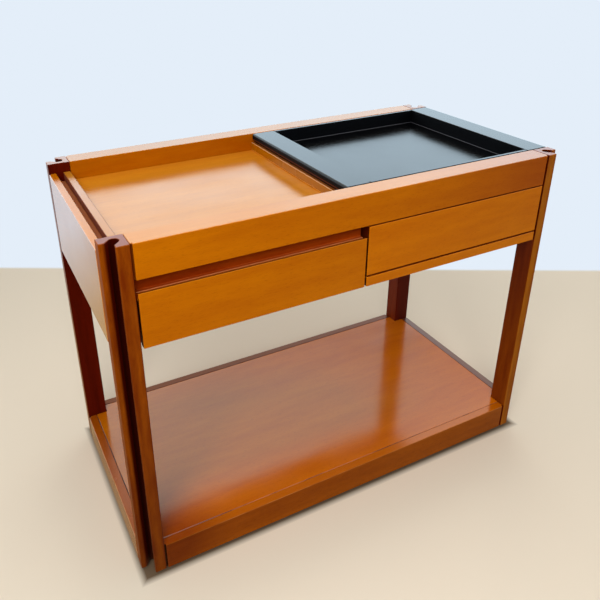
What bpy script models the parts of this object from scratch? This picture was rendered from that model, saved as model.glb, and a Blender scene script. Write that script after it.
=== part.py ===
"""Wooden bar cart on hidden casters, in metres with +Z up.

Four slotted corner posts carry a shallow body and a low shelf. The body has an open well on the left, a
lift-off tray over its right half, and two drawers that open to opposite sides. The rear is the front turned
half round. The origin is on the floor under the middle of the cart, and the front faces -Y.
"""

import math

import bmesh
import bpy

# Overall sizes, measured over the posts
CART_LENGTH = 0.885
CART_DEPTH = 0.443
LEG_LENGTH = 0.650
FLOOR_GAP = 0.010

# Gaps between pieces
SEAT = 0.0003
REVEAL = 0.0034
REVEAL_DEPTH = 0.004
DRAWER_SIDE_GAP = 0.001
DRAWER_TOP_GAP = 0.0015
DRAWER_END_GAP = 0.006
TRAY_END_GAP = 0.002
TRAY_SIDE_GAP = 0.0043
TRAY_FLOOR_GAP = 0.0007
PIVOT_CLEARANCE = 0.0001
WHEEL_SIDE_GAP = 0.0006
WHEEL_TOP_GAP = 0.0038

# Eased edges
EDGE = 0.0009
FINE_EDGE = 0.0005

# Corner posts
LEG_SIDE = 0.040
LEG_FLANGE = 0.020
LEG_SLOT_WIDTH = 0.0155
LEG_SLOT_WALL = 0.00975
SLOT_ARC_STEPS = 10

# Body
RAIL_HEIGHT = 0.0585
END_PANEL_THICKNESS = 0.013
GRIP_SLOT_WIDTH = 0.0132
BATTEN_WIDTH = 0.013
WELL_DEPTH = 0.0356
TOP_PANEL_THICKNESS = 0.016
DIVIDER_LEDGE = 0.002
PARTITION_THICKNESS = 0.016
PANEL_TOP_GAP = 0.0018
PANEL_BOTTOM_GAP = 0.003
LOWER_RAIL_HEIGHT = 0.0187
RUNNER_HEIGHT = 0.012
RUNNER_WIDTH = 0.016
RUNNER_LIFT = 0.002
RUNNER_TENON = 0.012

# Drawers
FACE_HEIGHT = 0.0948
FACE_THICKNESS = 0.013
FINGER_GAP = 0.0215
LIP_THICKNESS = 0.0035
GROOVE_DEPTH = 0.014
GROOVE_RADIUS = 0.005
GROOVE_ARC_STEPS = 5
BOX_FRONT_THICKNESS = 0.013
BOX_FRONT_LIFT = 0.0028
LEDGE_DROP = 0.0042
LEDGE_WIDTH = 0.0067
BOX_SIDE_THICKNESS = 0.012
BOX_SIDE_DROP = 0.006
BOX_BOTTOM_THICKNESS = 0.006
BOX_BOTTOM_LIFT = 0.004

# Lift-off tray
TRAY_LENGTH = 0.4645
TRAY_END_INSET = 0.0005
TRAY_FLANGE_THICKNESS = 0.018
TRAY_STEP_HEIGHT = 0.005
TRAY_STEP_INSET = 0.004
TRAY_WALL = 0.007
TRAY_FLOOR_THICKNESS = 0.0064
TRAY_EDGE_RADIUS = 0.004
TRAY_ARC_STEPS = 4

# Base
SKIRT_HEIGHT = 0.057
SKIRT_THICKNESS = 0.017
SHELF_THICKNESS = 0.018

# Casters
CASTER_INSET = 0.085
CASTER_TRAIL = 0.012
PLATE_SIDE = 0.042
PLATE_THICKNESS = 0.0025
PIN_RADIUS = 0.004
PIN_HEAD_INSET = 0.0011
PIN_HEAD_HEIGHT = 0.0018
HUB_RADIUS = 0.011
HUB_HEIGHT = 0.003
FORK_SHEET = 0.002
FORK_END = 0.009
FORK_BELOW_AXLE = 0.006
WHEEL_WIDTH = 0.014
WHEEL_EDGE_RADIUS = 0.003
WHEEL_ARC_STEPS = 3
WHEEL_STEPS = 32
AXLE_RADIUS = 0.0025
AXLE_STEPS = 20

# Heights above the floor that several pieces share
TOP = FLOOR_GAP + LEG_LENGTH
RAIL_BOTTOM = TOP - RAIL_HEIGHT
FACE_TOP = RAIL_BOTTOM - FINGER_GAP
BODY_BOTTOM = FACE_TOP - FACE_HEIGHT
TRAY_REST = TOP - TRAY_FLANGE_THICKNESS - SEAT
WELL_FLOOR = TOP - WELL_DEPTH
SHELF_TOP = FLOOR_GAP + SKIRT_HEIGHT
SHELF_BOTTOM = SHELF_TOP - SHELF_THICKNESS
RUNNER_TOP = BODY_BOTTOM + RUNNER_LIFT + RUNNER_HEIGHT

# Plan distances from the middle that several pieces share
HALF_LENGTH = CART_LENGTH / 2
HALF_DEPTH = CART_DEPTH / 2
LEG_INNER_X = HALF_LENGTH - LEG_SIDE
LEG_INNER_Y = HALF_DEPTH - LEG_SIDE
PANEL_THICKNESS = FACE_THICKNESS + SEAT + BOX_FRONT_THICKNESS + DRAWER_SIDE_GAP
PANEL_BACK_Y = HALF_DEPTH - PANEL_THICKNESS
BATTEN_INNER_X = HALF_LENGTH - END_PANEL_THICKNESS - GRIP_SLOT_WIDTH - BATTEN_WIDTH
TRAY_RIGHT = HALF_LENGTH - TRAY_END_INSET
TRAY_LEFT = TRAY_RIGHT - TRAY_LENGTH
TRAY_WALL_INSET = TRAY_RIGHT - BATTEN_INNER_X + TRAY_SIDE_GAP
FACE_WIDTH = LEG_INNER_X - 2 * REVEAL

for item in list(bpy.data.objects):
    bpy.data.objects.remove(item, do_unlink=True)

cart = bpy.data.collections.new("bar_cart")
cutters = bpy.data.collections.new("bar_cart_cutters")
bpy.context.scene.collection.children.link(cart)
bpy.context.scene.collection.children.link(cutters)


def finish(name, color, roughness, metallic=0.0):
    """A Principled material of one colour."""
    material = bpy.data.materials.new(name)
    material.use_nodes = True
    shader = material.node_tree.nodes["Principled BSDF"]
    shader.inputs["Base Color"].default_value = (*color, 1.0)
    shader.inputs["Roughness"].default_value = roughness
    shader.inputs["Metallic"].default_value = metallic
    material.diffuse_color = (*color, 1.0)
    return material


FRONT_WOOD = finish("honey_wood", (0.45, 0.13, 0.01), 0.28)
POST_WOOD = finish("brown_post_wood", (0.24, 0.06, 0.006), 0.28)
BASE_WOOD = finish("brown_base_wood", (0.30, 0.08, 0.01), 0.26)
BOX_WOOD = finish("pale_drawer_wood", (0.50, 0.28, 0.12), 0.5)
BLACK_LACQUER = finish("black_lacquer", (0.006, 0.007, 0.008), 0.18)
ZINC = finish("zinc_plated_steel", (0.55, 0.55, 0.54), 0.35, 1.0)
RUBBER = finish("grey_rubber", (0.03, 0.03, 0.03), 0.7)


def add(name, data, material, location=(0, 0, 0), rotation=(0, 0, 0), parent=None):
    """Puts an object with its material into the cart's collection."""
    piece = bpy.data.objects.new(name, data)
    piece.location = location
    piece.rotation_euler = rotation
    piece.parent = parent
    if not data.materials:
        data.materials.append(material)
    cart.objects.link(piece)
    return piece


def pivot(name, location, turn=0.0):
    """An empty on a joint's axis, which the moving pieces hang on."""
    empty = bpy.data.objects.new(name, None)
    empty.location = location
    empty.rotation_euler = (0, 0, turn)
    empty.empty_display_size = 0.05
    cart.objects.link(empty)
    return empty


def ease(piece, width):
    """Breaks the sharp edges of a piece."""
    bevel = piece.modifiers.new("eased_edges", "BEVEL")
    bevel.width = width
    bevel.segments = 1
    bevel.limit_method = "ANGLE"
    bevel.angle_limit = math.radians(40)


def block_mesh(name, size):
    """A box of the given size about its own middle."""
    mesh = bpy.data.meshes.new(name)
    shape = bmesh.new()
    bmesh.ops.create_cube(shape, size=1.0)
    bmesh.ops.scale(shape, vec=size, verts=shape.verts)
    shape.to_mesh(mesh)
    shape.free()
    return mesh


def board(name, low, high, material, edge=EDGE, turned=False, parent=None):
    """A straight board between two corners, or its copy half a turn round the cart's middle."""
    size = [b - a for a, b in zip(low, high)]
    middle = [(a + b) / 2 for a, b in zip(low, high)]
    if turned:
        middle = [-middle[0], -middle[1], middle[2]]
    piece = add(name, block_mesh(name, size), material, middle, parent=parent)
    ease(piece, edge)
    return piece


def prism(name, outline, start, end, along, material, edge=EDGE, turned=False, parent=None):
    """A flat outline drawn across one axis and pulled along it from start to end."""
    curve = bpy.data.curves.new(name, "CURVE")
    curve.dimensions = "2D"
    curve.fill_mode = "BOTH"
    curve.extrude = (end - start) / 2
    spline = curve.splines.new("POLY")
    spline.points.add(len(outline) - 1)
    for point, (across, up) in zip(spline.points, outline):
        point.co = (across, up, 0, 1)
    spline.use_cyclic_u = True
    middle = (start + end) / 2
    quarter = math.pi / 2
    location, rotation = {
        "X": ((middle, 0, 0), (quarter, 0, quarter)),
        "Y": ((0, middle, 0), (quarter, 0, 0)),
        "Z": ((0, 0, middle), (0, 0, 0)),
    }[along]
    if turned:
        location = (-location[0], -location[1], location[2])
        rotation = (rotation[0], 0, rotation[2] + math.pi)
    piece = add(name, curve, material, location, rotation, parent)
    weld = piece.modifiers.new("joined_caps", "WELD")
    weld.merge_threshold = 0.00001
    flat = piece.modifiers.new("flat_caps", "DECIMATE")
    flat.decimate_type = "DISSOLVE"
    flat.angle_limit = math.radians(1)
    ease(piece, edge)
    return piece


def arc(centre, radius, start_degrees, end_degrees, steps):
    """Points along a circular arc, both ends included."""
    points = []
    for step in range(steps + 1):
        angle = math.radians(start_degrees + (end_degrees - start_degrees) * step / steps)
        points.append((centre[0] + radius * math.cos(angle), centre[1] + radius * math.sin(angle)))
    return points


def notched(half, outer, inner, left_end=None):
    """Plan outline of a board between two posts, with the shadow gap cut at its outer corners.

    A left end that stops short of the post is plain.
    """
    step = outer + REVEAL_DEPTH
    near = half - REVEAL + SEAT
    points = [(near, outer), (near, step), (half, step), (half, inner)]
    if left_end is None:
        return points + [(-half, inner), (-half, step), (-near, step), (-near, outer)]
    return points + [(left_end, inner), (left_end, outer)]


def swapped(outline):
    """The same outline for a board that runs along Y at the left end of the cart."""
    return [(across, -along) for along, across in outline]


# Corner posts
slot_radius = LEG_SLOT_WIDTH / 2
slot_centre = LEG_SIDE - LEG_SLOT_WALL - slot_radius
corner_cut = LEG_SIDE - LEG_FLANGE
tip = corner_cut - slot_radius * math.sqrt(2)
leg_outline = [(0, LEG_SIDE), (0, corner_cut), (tip, corner_cut)]
leg_outline += arc((slot_centre, slot_centre), slot_radius, 135, -45, SLOT_ARC_STEPS)
leg_outline += [(corner_cut, tip), (corner_cut, 0), (LEG_SIDE, 0), (LEG_SIDE, LEG_SIDE)]
leg_corners = {
    "leg_front_left": (-1, -1, 0),
    "leg_front_right": (1, -1, 90),
    "leg_rear_right": (1, 1, 180),
    "leg_rear_left": (-1, 1, 270),
}
for name, (side_x, side_y, degrees) in leg_corners.items():
    leg = prism(name, leg_outline, FLOOR_GAP, TOP, "Z", POST_WOOD)
    leg.location.x = side_x * HALF_LENGTH
    leg.location.y = side_y * HALF_DEPTH
    leg.rotation_euler.z = math.radians(degrees)

# Upper rails, fixed panels and lower rails, front and rear
rail_outline = notched(LEG_INNER_X - SEAT, -HALF_DEPTH, -LEG_INNER_Y)
panel_outline = notched(LEG_INNER_X - SEAT, -HALF_DEPTH, -PANEL_BACK_Y, left_end=0.0)
lower_rail_top = BODY_BOTTOM + LOWER_RAIL_HEIGHT
for side, turned in (("front", False), ("rear", True)):
    prism("upper_rail_" + side, rail_outline, RAIL_BOTTOM, TOP, "Z", FRONT_WOOD, turned=turned)
    prism("fixed_panel_" + side, panel_outline, lower_rail_top + PANEL_BOTTOM_GAP,
          RAIL_BOTTOM - PANEL_TOP_GAP, "Z", FRONT_WOOD, turned=turned)
    prism("lower_rail_" + side, panel_outline, BODY_BOTTOM, lower_rail_top, "Z", FRONT_WOOD, turned=turned)

# End panels, and the battens that leave a grip slot beside them
end_outline = swapped(notched(LEG_INNER_Y - SEAT, -HALF_LENGTH, -HALF_LENGTH + END_PANEL_THICKNESS))
for side, turned in (("left", False), ("right", True)):
    prism("end_panel_" + side, end_outline, BODY_BOTTOM, TRAY_REST, "Z", FRONT_WOOD, turned=turned)
    board("batten_" + side,
          (-BATTEN_INNER_X - BATTEN_WIDTH, -LEG_INNER_Y + SEAT, WELL_FLOOR + SEAT),
          (-BATTEN_INNER_X, LEG_INNER_Y - SEAT, TRAY_REST),
          FRONT_WOOD, turned=turned)

# Top panel, which is the floor of the well, and the divider under the tray's inner flange
panel_half_x = HALF_LENGTH - END_PANEL_THICKNESS - SEAT
panel_half_y = LEG_INNER_Y - SEAT
board("top_panel",
      (-panel_half_x, -panel_half_y, WELL_FLOOR - TOP_PANEL_THICKNESS),
      (panel_half_x, panel_half_y, WELL_FLOOR),
      FRONT_WOOD, FINE_EDGE)
board("divider",
      (TRAY_LEFT - DIVIDER_LEDGE, -panel_half_y, WELL_FLOOR + SEAT),
      (TRAY_LEFT + TRAY_WALL_INSET - TRAY_SIDE_GAP, panel_half_y, TRAY_REST),
      FRONT_WOOD)

# Partition between the drawers, and the runners that carry them
partition_half = PARTITION_THICKNESS / 2
partition_end = PANEL_BACK_Y - SEAT
partition_side = [
    (partition_end, BODY_BOTTOM), (partition_end, RAIL_BOTTOM - SEAT), (panel_half_y, RAIL_BOTTOM - SEAT),
    (panel_half_y, WELL_FLOOR - TOP_PANEL_THICKNESS - SEAT)]
partition_outline = partition_side + [(-y, z) for y, z in reversed(partition_side)]
prism("partition", partition_outline, -partition_half, partition_half, "X", BOX_WOOD, FINE_EDGE)
for side, turned in (("left", False), ("right", True)):
    board("outer_runner_" + side,
          (-LEG_INNER_X - RUNNER_TENON, -LEG_INNER_Y + SEAT, BODY_BOTTOM + RUNNER_LIFT),
          (-LEG_INNER_X + RUNNER_WIDTH, LEG_INNER_Y - SEAT, RUNNER_TOP),
          BOX_WOOD, FINE_EDGE, turned)
    board("inner_runner_" + side,
          (-partition_half - SEAT - RUNNER_WIDTH, -partition_end, BODY_BOTTOM + RUNNER_LIFT),
          (-partition_half - SEAT, partition_end, RUNNER_TOP),
          BOX_WOOD, FINE_EDGE, turned)

# Drawers, built behind a face that looks along -Y and turned half round for the rear one
face_outline = [(0, 0), (FACE_THICKNESS, 0), (FACE_THICKNESS, FACE_HEIGHT - GROOVE_DEPTH)]
face_outline += arc(
    (LIP_THICKNESS + GROOVE_RADIUS, FACE_HEIGHT - GROOVE_DEPTH + GROOVE_RADIUS),
    GROOVE_RADIUS, 270, 180, GROOVE_ARC_STEPS)
face_outline += [(LIP_THICKNESS, FACE_HEIGHT), (0, FACE_HEIGHT)]
box_front_y = FACE_THICKNESS + SEAT
box_front_back = box_front_y + BOX_FRONT_THICKNESS
box_front_top = FACE_HEIGHT + FINGER_GAP - DRAWER_TOP_GAP
ledge_height = FACE_HEIGHT - LEDGE_DROP
box_front_outline = [
    (box_front_y, BOX_FRONT_LIFT), (box_front_back, BOX_FRONT_LIFT), (box_front_back, box_front_top),
    (box_front_y + LEDGE_WIDTH, box_front_top), (box_front_y + LEDGE_WIDTH, ledge_height),
    (box_front_y, ledge_height)]
face_middle = -LEG_INNER_X / 2
box_left = -LEG_INNER_X + DRAWER_SIDE_GAP - face_middle
box_right = -partition_half - DRAWER_SIDE_GAP - face_middle
box_low = RUNNER_TOP + SEAT - BODY_BOTTOM
box_high = box_front_top - BOX_SIDE_DROP
box_rear = CART_DEPTH - PANEL_THICKNESS - DRAWER_END_GAP
side_start = box_front_back + SEAT
inner_left = box_left + BOX_SIDE_THICKNESS
inner_right = box_right - BOX_SIDE_THICKNESS
back_start = box_rear - BOX_SIDE_THICKNESS
bottom_low = box_low + BOX_BOTTOM_LIFT
for side, turn in (("left", 0.0), ("right", math.pi)):
    direction = math.cos(turn)
    slide = pivot("drawer_" + side + "_slide",
                  (face_middle * direction, -HALF_DEPTH * direction, BODY_BOTTOM), turn)
    stem = "drawer_" + side
    prism(stem + "_face", face_outline, -FACE_WIDTH / 2, FACE_WIDTH / 2, "X", FRONT_WOOD, parent=slide)
    prism(stem + "_box_front", box_front_outline, -FACE_WIDTH / 2, FACE_WIDTH / 2, "X", POST_WOOD,
          FINE_EDGE, parent=slide)
    board(stem + "_side_outer", (box_left, side_start, box_low), (inner_left, box_rear, box_high),
          BOX_WOOD, FINE_EDGE, parent=slide)
    board(stem + "_side_inner", (inner_right, side_start, box_low), (box_right, box_rear, box_high),
          BOX_WOOD, FINE_EDGE, parent=slide)
    board(stem + "_back", (inner_left + SEAT, back_start, box_low),
          (inner_right - SEAT, box_rear, box_high),
          BOX_WOOD, FINE_EDGE, parent=slide)
    board(stem + "_bottom", (inner_left + SEAT, side_start, bottom_low),
          (inner_right - SEAT, back_start - SEAT, bottom_low + BOX_BOTTOM_THICKNESS),
          BOX_WOOD, FINE_EDGE, parent=slide)

# Lift-off tray, which rests on the divider and on the right end by its flanges
tray_lift = pivot("tray_lift", ((TRAY_LEFT + TRAY_RIGHT) / 2, 0, TRAY_REST))
tray_half = TRAY_LENGTH / 2
tray_half_y = LEG_INNER_Y - TRAY_END_GAP
tray_top = TOP - TRAY_REST
tray_low = WELL_FLOOR + TRAY_FLOOR_GAP - TRAY_REST
lip_low = SEAT + TRAY_STEP_HEIGHT
wall_outer = -tray_half + TRAY_WALL_INSET
wall_inner = wall_outer + TRAY_WALL
side_outline = [(-tray_half, lip_low)]
side_outline += arc((-tray_half + TRAY_EDGE_RADIUS, tray_top - TRAY_EDGE_RADIUS), TRAY_EDGE_RADIUS,
                    180, 90, TRAY_ARC_STEPS)
side_outline += [
    (wall_inner, tray_top), (wall_inner, tray_low), (wall_outer, tray_low), (wall_outer, SEAT),
    (-tray_half + TRAY_STEP_INSET, SEAT), (-tray_half + TRAY_STEP_INSET, lip_low)]
prism("tray_side_left", side_outline, -tray_half_y, tray_half_y, "Y", BLACK_LACQUER, parent=tray_lift)
prism("tray_side_right", side_outline, -tray_half_y, tray_half_y, "Y", BLACK_LACQUER, turned=True,
      parent=tray_lift)
tray_inner_x = -wall_inner - SEAT
for side, turned in (("front", False), ("rear", True)):
    board("tray_wall_" + side,
          (-tray_inner_x, -tray_half_y, tray_low), (tray_inner_x, -tray_half_y + TRAY_WALL, tray_top),
          BLACK_LACQUER, turned=turned, parent=tray_lift)
tray_floor_y = tray_half_y - TRAY_WALL - SEAT
board("tray_floor", (-tray_inner_x, -tray_floor_y, tray_low),
      (tray_inner_x, tray_floor_y, tray_low + TRAY_FLOOR_THICKNESS),
      BLACK_LACQUER, FINE_EDGE, parent=tray_lift)

# Base: four skirt boards between the posts, and the shelf set in flush between them
skirt_outline = notched(LEG_INNER_X - SEAT, -HALF_DEPTH, -HALF_DEPTH + SKIRT_THICKNESS)
end_skirt_outline = swapped(notched(LEG_INNER_Y - SEAT, -HALF_LENGTH, -HALF_LENGTH + SKIRT_THICKNESS))
for side, turned in (("front", False), ("rear", True)):
    prism("skirt_" + side, skirt_outline, FLOOR_GAP, SHELF_TOP, "Z", BASE_WOOD, turned=turned)
for side, turned in (("left", False), ("right", True)):
    prism("skirt_" + side, end_skirt_outline, FLOOR_GAP, SHELF_TOP, "Z", BASE_WOOD, turned=turned)
shelf_x = HALF_LENGTH - SKIRT_THICKNESS - SEAT
shelf_y = HALF_DEPTH - SKIRT_THICKNESS - SEAT
notch_x = LEG_INNER_X - SEAT
notch_y = LEG_INNER_Y - SEAT
shelf_quarter = [(shelf_x, notch_y), (notch_x, notch_y), (notch_x, shelf_y)]
shelf_outline = list(shelf_quarter)
shelf_outline += [(-x, y) for x, y in reversed(shelf_quarter)]
shelf_outline += [(-x, -y) for x, y in shelf_quarter]
shelf_outline += [(x, -y) for x, y in reversed(shelf_quarter)]
prism("shelf", shelf_outline, SHELF_BOTTOM, SHELF_TOP, "Z", BASE_WOOD)


def cutter(name, mesh, location, parent, rotation=(0, 0, 0)):
    """A shape that cuts or joins another and is not a piece itself."""
    shape = bpy.data.objects.new(name, mesh)
    shape.location = location
    shape.rotation_euler = rotation
    shape.parent = parent
    shape.hide_render = True
    shape.display_type = "WIRE"
    cutters.objects.link(shape)
    return shape


def carve(piece, operation, shape):
    """Cuts a shape out of a piece, or joins it to the piece."""
    boolean = piece.modifiers.new(shape.name, "BOOLEAN")
    boolean.operation = operation
    boolean.object = shape


def round_bar(name, radius, length, steps):
    """A capped cylinder about its own middle, along Z."""
    mesh = bpy.data.meshes.new(name)
    shape = bmesh.new()
    bmesh.ops.create_cone(shape, cap_ends=True, segments=steps, radius1=radius, radius2=radius, depth=length)
    shape.to_mesh(mesh)
    shape.free()
    mesh.shade_smooth()
    mesh.set_sharp_from_angle(angle=math.radians(40))
    return mesh


def wheel_profile():
    """Half section of the wheel, with rounded treads and a bore, to be turned about Z."""
    half = WHEEL_WIDTH / 2
    bore = AXLE_RADIUS + PIVOT_CLEARANCE
    rim = wheel_radius - WHEEL_EDGE_RADIUS
    shoulder = half - WHEEL_EDGE_RADIUS
    profile = arc((rim, shoulder), WHEEL_EDGE_RADIUS, 90, 0, WHEEL_ARC_STEPS)
    profile += arc((rim, -shoulder), WHEEL_EDGE_RADIUS, 0, -90, WHEEL_ARC_STEPS)
    profile += [(bore, -half), (bore, half)]
    mesh = bpy.data.meshes.new("caster_wheel")
    shape = bmesh.new()
    corners = [shape.verts.new((across, 0, up)) for across, up in profile]
    for first, second in zip(corners, corners[1:] + corners[:1]):
        shape.edges.new((first, second))
    shape.to_mesh(mesh)
    shape.free()
    return mesh


# Casters, screwed under the shelf inside the skirts; heights here are from the swivel bearing
swivel_height = SHELF_BOTTOM - SEAT - PLATE_THICKNESS - SEAT
crown_low = -HUB_HEIGHT - FORK_SHEET
head_top = crown_low - SEAT
head_low = head_top - PIN_HEAD_HEIGHT
wheel_radius = (swivel_height + head_low - WHEEL_TOP_GAP) / 2
axle_drop = wheel_radius - swivel_height
fork_length = CASTER_TRAIL + 2 * FORK_END
fork_inner = WHEEL_WIDTH + 2 * WHEEL_SIDE_GAP
fork_outer = fork_inner + 2 * FORK_SHEET
fork_low = axle_drop - FORK_BELOW_AXLE
space_low = fork_low - FORK_SHEET
pin_top = SEAT + PLATE_THICKNESS / 2
pin_low = (head_top + head_low) / 2
hub_length = HUB_HEIGHT + FORK_SHEET / 2
quarter_turn = (math.pi / 2, 0, 0)

plate_mesh = block_mesh("caster_plate", (PLATE_SIDE, PLATE_SIDE, PLATE_THICKNESS))
pin_mesh = round_bar("caster_pin", PIN_RADIUS, pin_top - pin_low, AXLE_STEPS)
head_mesh = round_bar("caster_pin_head", fork_inner / 2 - PIN_HEAD_INSET, PIN_HEAD_HEIGHT, AXLE_STEPS)
fork_mesh = block_mesh("caster_fork", (fork_length, fork_outer, -HUB_HEIGHT - fork_low))
space_mesh = block_mesh("caster_wheel_space", (2 * fork_length, fork_inner, crown_low - space_low))
hub_mesh = round_bar("caster_hub", HUB_RADIUS, hub_length, WHEEL_STEPS)
pin_hole_mesh = round_bar("caster_pin_hole", PIN_RADIUS + PIVOT_CLEARANCE, 4 * hub_length, AXLE_STEPS)
axle_hole_mesh = round_bar("caster_axle_hole", AXLE_RADIUS + PIVOT_CLEARANCE, 2 * fork_outer, AXLE_STEPS)
axle_mesh = round_bar("caster_axle", AXLE_RADIUS, fork_outer, AXLE_STEPS)
wheel_mesh = wheel_profile()

caster_x = HALF_LENGTH - CASTER_INSET
caster_y = HALF_DEPTH - CASTER_INSET
caster_places = {
    "front_left": (-caster_x, -caster_y),
    "front_right": (caster_x, -caster_y),
    "rear_right": (caster_x, caster_y),
    "rear_left": (-caster_x, caster_y),
}
for corner, (x, y) in caster_places.items():
    swivel = pivot("caster_swivel_" + corner, (x, y, swivel_height))
    plate_place = (0, 0, SEAT + PLATE_THICKNESS / 2)
    plate = add("caster_plate_" + corner, plate_mesh, ZINC, plate_place, parent=swivel)
    ease(plate, FINE_EDGE)
    pin = cutter("pin_" + corner, pin_mesh, (0, 0, (pin_top + pin_low) / 2), swivel)
    pin_head = cutter("pin_head_" + corner, head_mesh, (0, 0, pin_low), swivel)
    carve(plate, "UNION", pin)
    carve(plate, "UNION", pin_head)
    fork_place = (CASTER_TRAIL / 2, 0, (fork_low - HUB_HEIGHT) / 2)
    space_place = (CASTER_TRAIL / 2, 0, (crown_low + space_low) / 2)
    axle_place = (CASTER_TRAIL, 0, axle_drop)
    fork = add("caster_fork_" + corner, fork_mesh, ZINC, fork_place, parent=swivel)
    carve(fork, "DIFFERENCE", cutter("wheel_space_" + corner, space_mesh, space_place, swivel))
    carve(fork, "UNION", cutter("hub_" + corner, hub_mesh, (0, 0, -hub_length / 2), swivel))
    carve(fork, "DIFFERENCE", cutter("pin_hole_" + corner, pin_hole_mesh, (0, 0, -hub_length / 2), swivel))
    axle_hole = cutter("axle_hole_" + corner, axle_hole_mesh, axle_place, swivel, quarter_turn)
    carve(fork, "DIFFERENCE", axle_hole)
    add("caster_axle_" + corner, axle_mesh, ZINC, axle_place, quarter_turn, swivel)
    wheel = add("caster_wheel_" + corner, wheel_mesh, RUBBER, axle_place, quarter_turn, swivel)
    screw = wheel.modifiers.new("turned", "SCREW")
    screw.steps = WHEEL_STEPS
    screw.render_steps = WHEEL_STEPS
    screw.use_merge_vertices = True
    screw.merge_threshold = 0.00001
    screw.use_smooth_shade = True
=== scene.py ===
"""Looks of the wooden bar cart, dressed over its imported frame."""

import math

import bmesh
import bpy
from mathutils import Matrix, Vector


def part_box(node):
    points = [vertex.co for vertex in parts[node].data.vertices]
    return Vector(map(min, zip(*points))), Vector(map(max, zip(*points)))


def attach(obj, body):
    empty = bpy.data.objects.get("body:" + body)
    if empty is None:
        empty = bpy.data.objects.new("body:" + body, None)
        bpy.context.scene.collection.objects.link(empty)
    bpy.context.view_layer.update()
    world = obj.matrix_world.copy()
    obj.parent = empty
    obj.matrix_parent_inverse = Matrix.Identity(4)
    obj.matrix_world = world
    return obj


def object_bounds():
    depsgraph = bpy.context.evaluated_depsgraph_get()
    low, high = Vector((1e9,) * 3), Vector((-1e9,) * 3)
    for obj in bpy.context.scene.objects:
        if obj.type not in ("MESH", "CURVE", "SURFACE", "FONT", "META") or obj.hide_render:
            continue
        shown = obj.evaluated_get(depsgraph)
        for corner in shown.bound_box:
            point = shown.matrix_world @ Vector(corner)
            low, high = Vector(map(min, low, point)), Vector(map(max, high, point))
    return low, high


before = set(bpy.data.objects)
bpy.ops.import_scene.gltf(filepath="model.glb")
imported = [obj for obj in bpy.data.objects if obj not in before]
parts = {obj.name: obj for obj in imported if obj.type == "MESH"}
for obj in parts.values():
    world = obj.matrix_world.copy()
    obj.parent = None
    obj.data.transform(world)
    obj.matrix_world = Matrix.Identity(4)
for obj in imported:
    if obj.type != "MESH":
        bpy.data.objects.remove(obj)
frame_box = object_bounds()
half_length, half_depth, cart_top = frame_box[1]


# Corner posts
# Solid square posts of beech, with the outer corner routed away and a round-ended slot run into the cut.
# Stained darker than the body, sprayed with satin lacquer, and tenoned to the rails, panels and skirts.
# Painted shade darkens them round and in the slot, on the faces turned inward and in the gaps.
def linear(hex_colour):
    """An sRGB hex colour as the linear colour that a shader takes."""
    channels = [int(hex_colour[i:i + 2], 16) / 255 for i in (1, 3, 5)]
    return [c / 12.92 if c < 0.04045 else ((c + 0.055) / 1.055) ** 2.4 for c in channels] + [1.0]


def put(tree, kind, inputs, **settings):
    """Adds one node with its settings; an input is a value, or the socket that feeds it."""
    made = tree.nodes.new(kind)
    for key, value in settings.items():
        setattr(made, key, value)
    for key, value in inputs.items():
        if isinstance(value, bpy.types.NodeSocket):
            tree.links.new(value, made.inputs[key])
        else:
            made.inputs[key].default_value = value
    return made


def outlook(tree):
    """Above 0 on faces that look away from the cart's upright middle line, below 0 on those that face it."""
    coordinates = put(tree, "ShaderNodeTexCoord", {}).outputs
    level = put(tree, "ShaderNodeVectorMath", {0: coordinates["Normal"], 1: (1, 1, 0)}, operation="MULTIPLY")
    return put(tree, "ShaderNodeVectorMath", {0: level.outputs[0], 1: coordinates["Object"]},
               operation="DOT_PRODUCT").outputs["Value"]


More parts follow.
